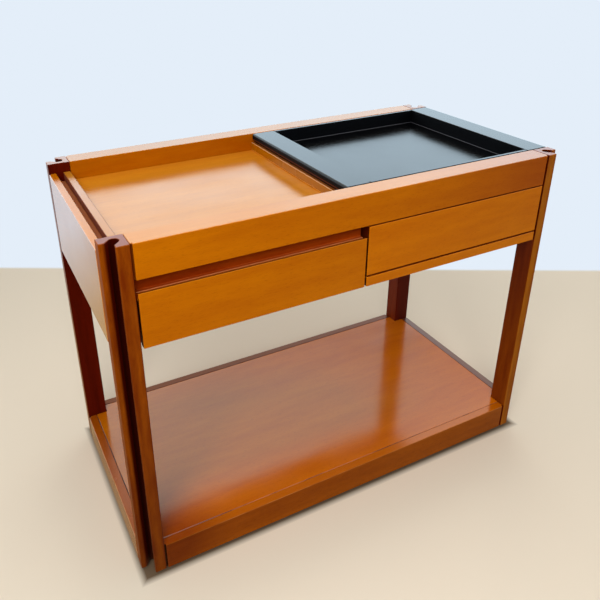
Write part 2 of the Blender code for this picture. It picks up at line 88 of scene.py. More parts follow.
def stained_beech(name, grain, light, dark, gloss, end_grain="#481000", fleck="#7A3200", lacquer="#FFC030",
                  outer_edge_mix=0.1, outer_edge_colour="#D8A060", seam=0.0, top_light=0.0, top_light_colour="#E5A843",
                  end_dulling=0.08, side_coat=0.0, top_coat=0.0, ior=1.55, band_mm=42):
    """Beech boards, planed, stained and sprayed with an amber satin lacquer.

    The eye gets wide soft bands of tone, a faint mottle and short dark flecks along the grain, and dark end
    grain. Upper faces are painted lighter, as painted light. Outer eased edges take their own colour, by
    default lighter, partly a painted highlight and partly where the staining has rubbed thin, and are dull.
    Inner eased edges are painted dark and dull, partly painted shade in the joints and partly settled grime.
    All lies under one even sheen. Sides or tops can have a second, clear coat.
    Flecks are about 0.4 mm wide and are drawn 1.1 mm wide, so that they show.
    """
    material = bpy.data.materials.new(name)
    material.use_nodes = True
    tree = material.node_tree
    shader = tree.nodes["Principled BSDF"]
    coordinates = put(tree, "ShaderNodeTexCoord", {}).outputs
    board = put(tree, "ShaderNodeObjectInfo", {}).outputs["Random"]
    shift = put(tree, "ShaderNodeVectorMath", {0: board, 1: (3.1, 1.7, 2.3)}, operation="MULTIPLY")
    place = put(tree, "ShaderNodeVectorMath", {0: coordinates["Object"], 1: shift.outputs[0]}).outputs[0]

    def layer(across_mm, along_mm, detail, low, high, to_low, to_high):
        """A pattern drawn out along the grain, its middle range spread over the values given."""
        size = [1000 / across_mm] * 3
        size["XYZ".index(grain)] = 1000 / along_mm
        drawn_out = put(tree, "ShaderNodeVectorMath", {0: place, 1: size}, operation="MULTIPLY")
        noise = put(tree, "ShaderNodeTexNoise", {
            "Vector": drawn_out.outputs[0], "Scale": 1.0, "Detail": detail, "Roughness": 0.55})
        return put(tree, "ShaderNodeMapRange", {
            "Value": noise.outputs["Fac"], "From Min": low, "From Max": high,
            "To Min": to_low, "To Max": to_high}).outputs[0]

    bands = layer(band_mm, 420, 3, 0.34, 0.66, 0.1, 0.9)
    mottle = layer(9, 55, 3, 0.35, 0.65, -0.22, 0.22)
    flecks = layer(1.1, 9, 1, 0.60, 0.70, 0, 0.30)
    tone = put(tree, "ShaderNodeMath", {0: bands, 1: mottle}, use_clamp=True).outputs[0]
    wood = put(tree, "ShaderNodeMix", {
        0: tone, 6: linear(dark), 7: linear(light)}, data_type="RGBA").outputs[2]
    wood = put(tree, "ShaderNodeMix", {0: flecks, 6: wood, 7: linear(fleck)}, data_type="RGBA").outputs[2]

    facing = put(tree, "ShaderNodeSeparateXYZ", {0: coordinates["Normal"]}).outputs
    upward = put(tree, "ShaderNodeMapRange", {
        "Value": facing["Z"], "From Min": 0.90, "From Max": 0.98}).outputs[0]
    # Painted light: upper faces are painted lighter, towards the top colour given.
    lit_top = put(tree, "ShaderNodeMath", {0: upward, 1: top_light}, operation="MULTIPLY").outputs[0]
    wood = put(tree, "ShaderNodeMix", {
        0: lit_top, 6: wood, 7: linear(top_light_colour)}, data_type="RGBA").outputs[2]
    # Outer eased edges take the edge colour: by default lighter, partly a painted highlight and partly stain
    # rubbed thin.
    outer = put(tree, "ShaderNodeMath", {0: outlook(tree), 1: 0.0}, operation="GREATER_THAN").outputs[0]
    eased = put(tree, "ShaderNodeMath", {0: facing["Z"], 1: 0.7, 2: 0.25}, operation="COMPARE").outputs[0]
    thin = layer(30, 60, 3, 0.40, 0.58, outer_edge_mix / 3, outer_edge_mix)
    worn = put(tree, "ShaderNodeMath", {0: eased, 1: thin}, operation="MULTIPLY").outputs[0]
    worn = put(tree, "ShaderNodeMath", {0: worn, 1: outer}, operation="MULTIPLY").outputs[0]
    wood = put(tree, "ShaderNodeMix", {0: worn, 6: wood, 7: linear(outer_edge_colour)}, data_type="RGBA").outputs[2]
    # Inner eased edges are painted dark: partly painted shade in the joints, partly dirt.
    inner = put(tree, "ShaderNodeMath", {0: eased, 1: outer}, operation="SUBTRACT", use_clamp=True).outputs[0]
    dirt_and_shade = put(tree, "ShaderNodeMath", {0: inner, 1: seam}, operation="MULTIPLY").outputs[0]
    wood = put(tree, "ShaderNodeMix", {0: dirt_and_shade, 6: wood, 7: linear("#3A1604")}, data_type="RGBA").outputs[2]
    along = put(tree, "ShaderNodeMath", {0: facing[grain]}, operation="ABSOLUTE").outputs[0]
    end = put(tree, "ShaderNodeMapRange", {"Value": along, "From Min": 0.80, "From Max": 0.93}).outputs[0]
    wood = put(tree, "ShaderNodeMix", {0: end, 6: wood, 7: linear(end_grain)}, data_type="RGBA").outputs[2]

    clouds = layer(90, 160, 2, 0.3, 0.7, gloss - 0.03, gloss + 0.05)
    dull = put(tree, "ShaderNodeMath", {
        0: end, 1: end_dulling, 2: clouds}, operation="MULTIPLY_ADD").outputs[0]
    matt = put(tree, "ShaderNodeMath", {0: worn, 1: dirt_and_shade}, use_clamp=True).outputs[0]
    dull = put(tree, "ShaderNodeMix", {0: matt, 2: dull, 3: 0.9}).outputs[0]
    relief = put(tree, "ShaderNodeMath", {0: mottle, 1: flecks}, operation="SUBTRACT").outputs[0]
    bump = put(tree, "ShaderNodeBump", {"Height": relief, "Strength": 0.02, "Distance": 0.0003}).outputs[0]
    tree.links.new(wood, shader.inputs["Base Color"])
    tree.links.new(dull, shader.inputs["Roughness"])
    tree.links.new(bump, shader.inputs["Normal"])
    shader.inputs["IOR"].default_value = ior
    shader.inputs["Specular Tint"].default_value = linear(lacquer)
    if side_coat or top_coat:
        thick = put(tree, "ShaderNodeMapRange", {
            "Value": upward, "To Min": side_coat, "To Max": top_coat}).outputs[0]
        tree.links.new(thick, shader.inputs["Coat Weight"])
        shader.inputs["Coat Roughness"].default_value = gloss
    return material


def zone(material, low, high):
    """1 inside a box that is given by distances from the cart's two middle planes and from the floor."""
    tree = material.node_tree
    place = put(tree, "ShaderNodeTexCoord", {}).outputs["Object"]
    place = put(tree, "ShaderNodeVectorMath", {0: place}, operation="ABSOLUTE").outputs[0]
    over = put(tree, "ShaderNodeVectorMath", {0: place, 1: low}, operation="SUBTRACT").outputs[0]
    under = put(tree, "ShaderNodeVectorMath", {0: high, 1: place}, operation="SUBTRACT").outputs[0]
    room = put(tree, "ShaderNodeVectorMath", {0: over, 1: under}, operation="MINIMUM").outputs[0]
    room = put(tree, "ShaderNodeSeparateXYZ", {0: room}).outputs
    least = put(tree, "ShaderNodeMath", {0: room[0], 1: room[1]}, operation="MINIMUM").outputs[0]
    least = put(tree, "ShaderNodeMath", {0: least, 1: room[2]}, operation="MINIMUM").outputs[0]
    return put(tree, "ShaderNodeMath", {0: least, 1: 0.0}, operation="GREATER_THAN").outputs[0]


def paint_over(material, where, colour, roughness=0.6, blend="MIX"):
    """Lays another, duller colour over a wood where the socket given is 1, as staining or as painted light
    and shade; MULTIPLY lets its grain show.
    """
    tree = material.node_tree
    shader = tree.nodes["Principled BSDF"]
    wood = shader.inputs["Base Color"].links[0].from_socket
    sheen = shader.inputs["Roughness"].links[0].from_socket
    over = put(tree, "ShaderNodeMix", {0: where, 6: wood, 7: linear(colour)}, data_type="RGBA",
               blend_type=blend).outputs[2]
    dull = put(tree, "ShaderNodeMix", {0: where, 2: sheen, 3: roughness}).outputs[0]
    tree.links.new(over, shader.inputs["Base Color"])
    tree.links.new(dull, shader.inputs["Roughness"])


def dress(material, *names):
    """Gives nodes of the frame their finish."""
    for name in names:
        parts[name].data.materials.clear()
        parts[name].data.materials.append(material)


def ramp(material, axis, start, end):
    """Rises from 0 to 1 between two places along one of the cart's axes."""
    tree = material.node_tree
    place = put(tree, "ShaderNodeTexCoord", {}).outputs["Object"]
    place = put(tree, "ShaderNodeSeparateXYZ", {0: place}).outputs[axis]
    return put(tree, "ShaderNodeMapRange", {"Value": place, "From Min": start, "From Max": end}).outputs[0]


def turned_to_low(material, axis):
    """1 on faces that are turned to the low end of one of the cart's axes."""
    tree = material.node_tree
    facing = put(tree, "ShaderNodeTexCoord", {}).outputs["Normal"]
    facing = put(tree, "ShaderNodeSeparateXYZ", {0: facing}).outputs[axis]
    return put(tree, "ShaderNodeMath", {0: facing, 1: -0.5}, operation="LESS_THAN").outputs[0]


POST_SIDE = 0.040
POST_CUT = 0.020
SLOT_MIDDLE = 0.0225
SLOT_RADIUS = 0.00775
SLOT_RIM = 0.0005
SLOT_LIT_DEPTH = 0.022
SLOT_HALO = 0.0095
GAP_DEPTH = 0.0045
EDGE = 0.0009
SKIN = 0.0003
WALL_START = 0.001
WALL_SHADE_MARGIN = 0.006
INWARD = -0.05
body_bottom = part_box("lower_rail_front")[0].z
skirt_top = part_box("skirt_front")[1].z


def post_wood(name, light, dark, inner, end_grain, gloss=0.60):
    """The posts' wood, with painted shade: darker on the faces turned inward, in the slot and beside it, and
    in the gaps.
    """
    material = stained_beech(name, "Z", light, dark, gloss, end_grain, "#3A1402", lacquer="#D85010",
                             end_dulling=0.30 - gloss, ior=1.45, band_mm=16)
    tree = material.node_tree
    # Painted shade: faces turned inward are multiplied darker by the inner colour.
    inward = put(tree, "ShaderNodeMath", {0: outlook(tree), 1: INWARD}, operation="LESS_THAN").outputs[0]
    paint_over(material, inward, inner, blend="MULTIPLY")
    # Painted shade on the posts' faces inside the shadow gaps beside the rails, panels and skirts.
    for low, high in ((0.0, skirt_top), (body_bottom, 1.0)):
        across, along = half_length - POST_SIDE, half_depth - POST_SIDE
        side_gap = zone(material, (across - EDGE, half_depth - GAP_DEPTH, low), (across + EDGE, 1.0, high))
        end_gap = zone(material, (half_length - GAP_DEPTH, along - EDGE, low), (1.0, along + EDGE, high))
        paint_over(material, side_gap, "#4E0E00")
        paint_over(material, end_gap, "#4E0E00")
    # Painted shade on the routed cut's wall, stopping short of its open edge.
    wall_x = half_length - POST_CUT
    wall = zone(material, (wall_x - SKIN, half_depth - POST_CUT + WALL_START, 0.0),
                (wall_x + SKIN, half_depth - WALL_SHADE_MARGIN, 1.0))
    paint_over(material, wall, "#120200", 0.9)
    coordinates = put(tree, "ShaderNodeTexCoord", {}).outputs
    place = put(tree, "ShaderNodeVectorMath", {0: coordinates["Object"]}, operation="ABSOLUTE").outputs[0]
    flat = put(tree, "ShaderNodeVectorMath", {0: place, 1: (1, 1, 0)}, operation="MULTIPLY").outputs[0]
    middle = (half_length - SLOT_MIDDLE, half_depth - SLOT_MIDDLE, 0)
    reach = put(tree, "ShaderNodeVectorMath", {0: flat, 1: middle}, operation="DISTANCE").outputs["Value"]
    upright = put(tree, "ShaderNodeSeparateXYZ", {0: coordinates["Normal"]}).outputs["Z"]
    upright = put(tree, "ShaderNodeMath", {0: upright, 1: 0.0, 2: 0.5}, operation="COMPARE").outputs[0]
    # Painted shade beside the slot on the upright faces, fading outward.
    beside = put(tree, "ShaderNodeMapRange", {
        "Value": reach, "From Min": SLOT_RADIUS + SKIN, "From Max": SLOT_RADIUS + SLOT_HALO}).outputs[0]
    beside = put(tree, "ShaderNodeMath", {0: beside, 1: 2.0}, operation="POWER").outputs[0]
    halo = put(tree, "ShaderNodeMath", {
        0: upright, 1: beside}, operation="SUBTRACT", use_clamp=True).outputs[0]
    paint_over(material, halo, "#3C0200", 0.9)
    # Painted shade inside the slot, a little less dark near the top, where light gets in.
    slot = put(tree, "ShaderNodeMath", {
        0: reach, 1: SLOT_RADIUS + SLOT_RIM}, operation="LESS_THAN").outputs[0]
    height = put(tree, "ShaderNodeSeparateXYZ", {0: coordinates["Object"]}).outputs["Z"]
    depth = put(tree, "ShaderNodeMapRange", {
        "Value": height, "From Min": cart_top, "From Max": cart_top - SLOT_LIT_DEPTH,
        "To Min": 0.75}).outputs[0]
    slot = put(tree, "ShaderNodeMath", {0: slot, 1: depth}, operation="MULTIPLY").outputs[0]
    paint_over(material, slot, "#160001", 0.9)
    return material


# The posts' end grain colours are pinker and less dark than plain end grain: partly painted sheen on the post
# tops.
near_wood = post_wood("brown_stained_beech", "#914704", "#632201", "#BFA69E", "#7A4434")
# Painted shade: the front left post is darker towards its foot.
paint_over(near_wood, ramp(near_wood, "Z", 0.60, 0.05), "#CBC7B8", blend="MULTIPLY")
dress(near_wood, "leg_front_left")
fading_wood = post_wood("lighter_brown_stained_beech", "#985606", "#743602", "#D2B4CB", "#864E35")
# Painted shade: the front right post's inner face is darker towards the top, under the body.
upper = ramp(fading_wood, "Z", 0.18, 0.45)
inner_face = turned_to_low(fading_wood, "X")
deeper = put(fading_wood.node_tree, "ShaderNodeMath", {
    0: upper, 1: inner_face}, operation="MULTIPLY").outputs[0]
paint_over(fading_wood, deeper, "#BC9C95", blend="MULTIPLY")
dress(fading_wood, "leg_front_right")
rear_wood = post_wood("red_brown_stained_post_beech", "#884806", "#642A02", "#DC9A82", "#A07C68", 0.35)
# Painted shade: the rear posts' faces turned to the front are darker.
paint_over(rear_wood, turned_to_low(rear_wood, "Y"), "#9D5CB2", blend="MULTIPLY")
dress(rear_wood, "leg_rear_left", "leg_rear_right")

# Base
# Four skirt boards tenoned between the posts, with the shelf panel set in flush between them. The skirts are
# nearly as brown as the posts, but the front one's top is as glossy as the shelf and painted about as light,
# as painted light; the shelf's grain runs along the cart. Painted shade darkens the near corner of the shelf
# and front skirt, the shelf's middle, the tops of the rear and right skirts, and the gaps at the skirts'
# ends.
REVEAL = 0.00335
POST_SHADE_START = 0.05
POST_SHADE_END = 0.14
SKIRT_GLOSS = 0.16
SHELF_GLOSS = 0.14
reveal_x = half_length - POST_SIDE - REVEAL
skirt_wood = stained_beech("brown_stained_skirt_beech", "X", "#944700", "#843B00", SKIRT_GLOSS, "#2A0A00",
                           "#4A1C00", lacquer="#FF9020", outer_edge_mix=0.2, seam=0.8, top_light=0.32,
                           top_light_colour="#E57800", top_coat=0.8, ior=1.30)
rear_skirt_wood = stained_beech("dark_topped_skirt_beech", "X", "#924600", "#823A00", 0.30, "#2A0A00",
                                "#4A1C00", lacquer="#FF9020", outer_edge_mix=0.5, seam=0.8, ior=1.45)
# Painted shade in the shadow gaps at the skirts' ends.
for wood in (skirt_wood, rear_skirt_wood):
    skirt_gap = zone(wood, (reveal_x, half_depth - GAP_DEPTH, 0.0), (1.0, 1.0, skirt_top - EDGE))
    paint_over(wood, skirt_gap, "#2A0A00")
end_skirt_wood = stained_beech("brown_stained_end_skirt_beech", "Y", "#924600", "#823A00", 0.24, "#2A0A00",
                               "#4A1C00", lacquer="#FFE8E0", outer_edge_mix=0.5, seam=0.8)
far_skirt_wood = end_skirt_wood.copy()
far_skirt_wood.name = "dark_topped_end_skirt_beech"
# Painted shade on the tops of the rear and right skirts.
for wood in (rear_skirt_wood, far_skirt_wood):
    paint_over(wood, zone(wood, (0.0, 0.0, skirt_top - EDGE / 2), (1.0, 1.0, 1.0)), "#50220C", 0.3)
shelf_wood = stained_beech("honey_stained_shelf_beech", "X", "#C26400", "#B65800", SHELF_GLOSS,
                           lacquer="#A8E0F4", outer_edge_mix=0.9, outer_edge_colour="#3A1604", ior=1.60)
# Painted shadow of the near post on the front skirt and the shelf's near corner.
near_post = (POST_SIDE - half_length, -half_depth, skirt_top)
for wood, gloss in ((skirt_wood, SKIRT_GLOSS), (shelf_wood, SHELF_GLOSS)):
    tree = wood.node_tree
    place = put(tree, "ShaderNodeTexCoord", {}).outputs["Object"]
    away = put(tree, "ShaderNodeVectorMath", {0: place, 1: near_post}, operation="DISTANCE").outputs["Value"]
    deeper = put(tree, "ShaderNodeMapRange", {
        "Value": away, "From Min": POST_SHADE_END, "From Max": POST_SHADE_START}).outputs[0]
    paint_over(wood, deeper, "#C4AA7C", gloss, blend="MULTIPLY")
# Painted shade: the shelf is toned deeper over its middle, behind the front edge and left of its right end.
tree = shelf_wood.node_tree
place = put(tree, "ShaderNodeTexCoord", {}).outputs["Object"]
slant = put(tree, "ShaderNodeVectorMath", {0: place, 1: (0.35, 1, 0)}, operation="DOT_PRODUCT")
nearer = put(tree, "ShaderNodeMapRange", {
    "Value": slant.outputs["Value"], "From Min": 0.18, "From Max": 0.04}).outputs[0]
behind_edge = ramp(shelf_wood, "Y", -0.165, -0.09)
lefter = ramp(shelf_wood, "X", 0.30, 0.10)
deeper = put(tree, "ShaderNodeMath", {0: behind_edge, 1: lefter}, operation="MULTIPLY").outputs[0]
deeper = put(tree, "ShaderNodeMath", {0: deeper, 1: nearer}, operation="MULTIPLY").outputs[0]
paint_over(shelf_wood, deeper, "#E6F4FF", SHELF_GLOSS, blend="MULTIPLY")
dress(skirt_wood, "skirt_front")
dress(rear_skirt_wood, "skirt_rear")
dress(end_skirt_wood, "skirt_left")
dress(far_skirt_wood, "skirt_right")
dress(shelf_wood, "shelf")

# Casters
# Pressed steel plates and forks, zinc plated, with plain steel axles and solid rubber wheels. The plates are
# screwed up under the shelf, where the skirts hide them.
zinc = bpy.data.materials.new("zinc_plated_steel")
# Zinc gives the eye a fine spangle of greys under a soft, slightly dull shine.
zinc.use_nodes = True
tree = zinc.node_tree
shader = tree.nodes["Principled BSDF"]
place = put(tree, "ShaderNodeTexCoord", {}).outputs["Object"]
spangle = put(tree, "ShaderNodeTexVoronoi", {"Vector": place, "Scale": 1000 / 3}).outputs["Color"]
spangle = put(tree, "ShaderNodeSeparateColor", {0: spangle}).outputs[0]
plating = put(tree, "ShaderNodeMix", {
    0: spangle, 6: linear("#A8A8A0"), 7: linear("#C4C4BE")}, data_type="RGBA")
dulling = put(tree, "ShaderNodeMapRange", {"Value": spangle, "To Min": 0.3, "To Max": 0.45})
tree.links.new(plating.outputs[2], shader.inputs["Base Color"])
tree.links.new(dulling.outputs[0], shader.inputs["Roughness"])
shader.inputs["Metallic"].default_value = 1.0
rubber = bpy.data.materials.new("dark_wheel_rubber")
# Rubber that has rolled over floors: near black, with grey dust in clouds about 6 mm across.
rubber.use_nodes = True
tree = rubber.node_tree
shader = tree.nodes["Principled BSDF"]
place = put(tree, "ShaderNodeTexCoord", {}).outputs["Object"]
dust = put(tree, "ShaderNodeTexNoise", {"Vector": place, "Scale": 1000 / 6, "Detail": 4.0}).outputs["Fac"]
tread = put(tree, "ShaderNodeMix", {0: dust, 6: linear("#1E1E1E"), 7: linear("#3E3C3A")}, data_type="RGBA")
worn = put(tree, "ShaderNodeMapRange", {"Value": dust, "To Min": 0.6, "To Max": 0.85})
tree.links.new(tread.outputs[2], shader.inputs["Base Color"])
tree.links.new(worn.outputs[0], shader.inputs["Roughness"])
for corner in ("front_left", "front_right", "rear_left", "rear_right"):
    dress(zinc, "caster_plate_" + corner, "caster_fork_" + corner, "caster_axle_" + corner)
    dress(rubber, "caster_wheel_" + corner)

# Partition and runners
# Plain beech boards inside the body, planed and left bare: a partition between the two drawers and a pair of
# runners for each, tenoned into the rails and posts.
box_wood = stained_beech("bare_planed_beech", "Y", "#D2A878", "#C2945F", 0.52, "#9A6E40", "#9A6E40",
                         lacquer="#FFFFFF")
dress(box_wood, "partition", "outer_runner_left", "outer_runner_right", "inner_runner_left",
      "inner_runner_right")

# Upper rails, fixed panels and lower rails
# Honey-stained boards between the posts, flush with them, with a shadow gap at each end and between the
# boards. Straight grain runs along the cart, and the satin lacquer catches the light on the top edges.
# Painted shade darkens the gaps, the rear rail, and the front rail towards its right end.
rail_wood = stained_beech("honey_stained_rail_beech", "X", "#B86400", "#AA5600", 0.22, top_light=0.2)
# Painted shade: the rear rail has a darker copy of the rail wood.
rear_rail_wood = stained_beech("shaded_honey_stained_rail_beech", "X", "#9E5400", "#904600", 0.22, top_light=0.2)
# The fixed panels' end grain is darker than plain end grain: partly painted shade in the finger gap.
panel_wood = stained_beech("lighter_honey_stained_beech", "X", "#C26A00", "#B45C00", 0.22, "#3A0C00")
# Painted shade in the shadow gaps at the boards' ends.
for wood in (rail_wood, rear_rail_wood, panel_wood):
    paint_over(wood, zone(wood, (reveal_x, half_depth - GAP_DEPTH, 0.0), (1.0, 1.0, cart_top - EDGE)), "#4E0E00")
# Painted shade in the gaps along the tops of the fixed panel and the lower rail.
for node in ("fixed_panel_front", "lower_rail_front"):
    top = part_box(node)[1].z
    paint_over(panel_wood, zone(panel_wood, (0.0, 0.0, top - EDGE / 2), (1.0, 1.0, top + EDGE)), "#5A1000", 0.9)
# Painted shade: the front rail is darker towards its right end.
paint_over(rail_wood, ramp(rail_wood, "X", 0.05, 0.43), "#D4AE95", 0.22, blend="MULTIPLY")
dress(rail_wood, "upper_rail_front")
dress(rear_rail_wood, "upper_rail_rear")
dress(panel_wood, "fixed_panel_front", "fixed_panel_rear", "lower_rail_front", "lower_rail_rear")

# End panels and battens
# Boards across the cart, tenoned between the posts, with a batten glued inside each so that an open slot is
# left to grip by. The same honey stain with the grain crosswise; the end panels have the thickest lacquer.
# Painted shade darkens the inside of the grip slots and the battens' inner edges.
end_wood = stained_beech("honey_stained_end_beech", "Y", "#BC6A00", "#AC5A00", 0.22, side_coat=0.9)
dress(end_wood, "end_panel_left", "end_panel_right")
batten_wood = stained_beech("honey_stained_batten_beech", "Y", "#A05C00", "#925000", 0.24, lacquer="#FFC0A0",
                            seam=0.8, top_light=0.2)
GRIP_SKIN = 0.0002
batten_outside = -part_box("batten_left")[0].x
grip_slot = ((batten_outside - GRIP_SKIN, 0.0, 0.0), (1.0, 1.0, 1.0))
# Painted shade on the batten's face inside the grip slot.
paint_over(batten_wood, zone(batten_wood, *grip_slot), "#541602", 0.9)
dress(batten_wood, "batten_left", "batten_right")

# Top panel and divider
# One panel makes the floor of the open well and runs on under the tray and into the grip slots. The divider
# stands on it across the cart and carries the tray; painted highlights run along its upper edge and its foot,
# and its ledge under the tray has painted shade.
top_wood = stained_beech("honey_stained_top_beech", "X", "#BA6C00", "#AC5E00", 0.19, top_light=0.15)
# Painted shade on the panel inside the grip slots.
paint_over(top_wood, zone(top_wood, *grip_slot), "#925236", 0.9)
dress(top_wood, "top_panel")
divider_wood = stained_beech("honey_stained_divider_beech", "Y", "#A66800", "#965800", 0.24, outer_edge_mix=0.6)
divider_left, divider_top = -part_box("divider")[0].x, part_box("divider")[1].z
well_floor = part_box("top_panel")[1].z
DIVIDER_LEDGE = 0.002
FOOT_HIGHLIGHT = 0.0018
# Painted highlight along the divider's foot.
foot_highlight = zone(divider_wood, (0.0, 0.0, 0.0), (1.0, 1.0, well_floor + FOOT_HIGHLIGHT))
paint_over(divider_wood, foot_highlight, "#DC9440")
# Painted shade on the divider's ledge under the tray's flange.
shaded_ledge = zone(divider_wood, (0.0, 0.0, divider_top - EDGE / 2), (1.0, 1.0, 1.0))
paint_over(divider_wood, shaded_ledge, "#763C13")
# Painted highlight along the divider's upper outer edge.
highlit_edge = zone(divider_wood, (divider_left - DIVIDER_LEDGE / 2, 0.0, divider_top - EDGE), (1.0, 1.0, 1.0))
paint_over(divider_wood, highlit_edge, "#B88A62")
dress(divider_wood, "divider")

# Drawers
# A honey-stained face with a thin finger lip, glued to a red-brown front board that shows in the finger gap,
# and a box of bare beech boards behind it. The board's ledge has a painted highlight along its edge, the
# lip's top has painted shade, and the board's red-brown is partly its stain and partly painted shade of the
# gap.
face_wood = stained_beech("honey_stained_face_beech", "X", "#B86400", "#AA5600", 0.22, "#3A1000")
lip_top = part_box("drawer_left_face")[1].z
# Painted shade on the lip's top.
paint_over(face_wood, zone(face_wood, (0.0, 0.0, lip_top - EDGE / 2), (1.0, 1.0, 1.0)), "#481400")
# The board's red-brown is partly its stain and partly painted shade of the finger gap.
front_board_wood = stained_beech("red_brown_stained_beech", "X", "#A04006", "#7E2803", 0.50, fleck="#6A2002",
                                 lacquer="#FF6818", ior=1.45)
LEDGE_HEIGHT = 0.0042
LEDGE_HIGHLIGHT = 0.0013
ledge_top = lip_top - LEDGE_HEIGHT
ledge_edge = -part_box("drawer_left_box_front")[0].y
# Painted highlight along the front board's ledge edge.
highlit_ledge = zone(front_board_wood, (0.0, ledge_edge - LEDGE_HIGHLIGHT, ledge_top - EDGE),
                    (1.0, 1.0, ledge_top + EDGE))
paint_over(front_board_wood, highlit_ledge, "#A86840")
for side in ("left", "right"):
    stem = "drawer_" + side
    dress(face_wood, stem + "_face")
    dress(front_board_wood, stem + "_box_front")
    dress(box_wood, stem + "_side_outer", stem + "_side_inner", stem + "_back", stem + "_bottom")

# Lift-off tray
# A shallow wooden tray sprayed black; its flanges rest on the divider and on the right end of the cart, and
# a small bead of filler closes the corner round its floor.
tray_black = bpy.data.materials.new("black_sprayed_lacquer")
# Satin lacquer: a deep black with a pale sheen on the level faces, uneven in patches about 70 mm across from
# handling, and thin, dull lacquer on the upright ones.
tray_black.use_nodes = True
tree = tray_black.node_tree
shader = tree.nodes["Principled BSDF"]
place = put(tree, "ShaderNodeTexCoord", {}).outputs["Object"]
handling = put(tree, "ShaderNodeTexNoise", {
    "Vector": place, "Scale": 1000 / 70, "Detail": 3.0}).outputs["Fac"]
black = put(tree, "ShaderNodeMix", {
    0: handling, 6: linear("#020203"), 7: linear("#050608")}, data_type="RGBA")
sheen = put(tree, "ShaderNodeMapRange", {"Value": handling, "To Min": 0.15, "To Max": 0.23}).outputs[0]
upward = put(tree, "ShaderNodeTexCoord", {}).outputs["Normal"]
upward = put(tree, "ShaderNodeSeparateXYZ", {0: upward}).outputs["Z"]
sides = put(tree, "ShaderNodeMapRange", {"Value": upward, "From Min": 0.3, "From Max": 0.0}).outputs[0]
sheen = put(tree, "ShaderNodeMix", {0: sides, 2: sheen, 3: 0.8}).outputs[0]
tree.links.new(black.outputs[2], shader.inputs["Base Color"])
tree.links.new(sheen, shader.inputs["Roughness"])
shader.inputs["IOR"].default_value = 1.5
shader.inputs["Specular Tint"].default_value = linear("#101010")
dress(tray_black, "tray_floor", "tray_wall_front", "tray_wall_rear", "tray_side_right")
brown_banded_black = tray_black.copy()
brown_banded_black.name = "rubbed_black_lacquer"
TRAY_STEP = 0.0053
BROWN_BAND_HEIGHT = 0.003
tray_left = -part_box("tray_side_left")[0].x
lip_bottom = divider_top + TRAY_STEP
# The left flange's outer face is painted brown along its lowest 3 mm.
brown_band = zone(brown_banded_black, (tray_left - EDGE / 2, 0.0, 0.0), (1.0, 1.0, lip_bottom + BROWN_BAND_HEIGHT))
outer_face = turned_to_low(brown_banded_black, "X")
brown_band = put(brown_banded_black.node_tree, "ShaderNodeMath", {
    0: brown_band, 1: outer_face}, operation="MULTIPLY").outputs[0]
paint_over(brown_banded_black, brown_band, "#4A1E0A")
dress(brown_banded_black, "tray_side_left")

BEAD_RADIUS = 0.0008
BEAD_STEPS = 4
BEAD_SINK = 0.0002
floor_low, floor_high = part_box("tray_floor")
profile = [(-BEAD_SINK, -BEAD_SINK), (BEAD_RADIUS, -BEAD_SINK)]
for step in range(BEAD_STEPS + 1):
    turn = math.radians(90 * step / BEAD_STEPS)
    profile.append((BEAD_RADIUS * (1 - math.sin(turn)), BEAD_RADIUS * (1 - math.cos(turn))))
profile.append((-BEAD_SINK, BEAD_RADIUS))
bead_shape = bmesh.new()
rings = []
for corner_x, corner_y in ((0, 0), (1, 0), (1, 1), (0, 1)):
    ring = []
    for inward, up in profile:
        x = (floor_low.x + inward, floor_high.x - inward)[corner_x]
        y = (floor_low.y + inward, floor_high.y - inward)[corner_y]
        ring.append(bead_shape.verts.new((x, y, floor_high.z + up)))
    rings.append(ring)
for ring, following in zip(rings, rings[1:] + rings[:1]):
    for i in range(len(profile)):
        j = (i + 1) % len(profile)
        bead_shape.faces.new((ring[i], ring[j], following[j], following[i]))
bmesh.ops.recalc_face_normals(bead_shape, faces=bead_shape.faces)
bead_mesh = bpy.data.meshes.new("tray_corner_bead")
bead_shape.to_mesh(bead_mesh)
bead_shape.free()
bead = bpy.data.objects.new("tray_corner_bead", bead_mesh)
bpy.context.scene.collection.objects.link(bead)
filler = bpy.data.materials.new("dusty_highlit_black_filler")
# Filler under thin lacquer: a dark grey line, lighter than the black, partly a painted highlight along the
# corner and partly paler dust in patches about 8 mm long.
filler.use_nodes = True
tree = filler.node_tree
shader = tree.nodes["Principled BSDF"]
place = put(tree, "ShaderNodeTexCoord", {}).outputs["Object"]
dust = put(tree, "ShaderNodeTexNoise", {"Vector": place, "Scale": 1000 / 8, "Detail": 3.0}).outputs["Fac"]
grey = put(tree, "ShaderNodeMix", {0: dust, 6: linear("#08080C"), 7: linear("#1E1C26")}, data_type="RGBA")
dull = put(tree, "ShaderNodeMapRange", {"Value": dust, "To Min": 0.55, "To Max": 0.75})
tree.links.new(grey.outputs[2], shader.inputs["Base Color"])
tree.links.new(dull.outputs[0], shader.inputs["Roughness"])
bead_mesh.materials.append(filler)
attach(bead, "tray")

# Studio
# A plain pale floor, shaded under the cart, that turns to a paler backdrop behind it and far from it, soft
# light from a bright room, and the camera where the photograph was taken from.
FLOOR_HALF = 9
BACKDROP_WAY = (0.481, 0.877, 0)
BACKDROP_LINE = 0.77
LINE_WIDTH = 0.015
GLOSS_LINE_START = 0.30
GLOSS_LINE_END = 0.95
FADE_START = 1.3
FADE_END = 2.6
SHADE_START = -0.004
SHADE_END = 0.010
floor_mesh = bpy.data.meshes.new("studio_floor")
corners = [(x * FLOOR_HALF, y * FLOOR_HALF, 0) for x, y in ((-1, -1), (1, -1), (1, 1), (-1, 1))]
floor_mesh.from_pydata(corners, [], [(0, 1, 2, 3)])
floor = bpy.data.objects.new("studio_floor", floor_mesh)
bpy.context.scene.collection.objects.link(floor)
paper = bpy.data.materials.new("pale_studio_floor")
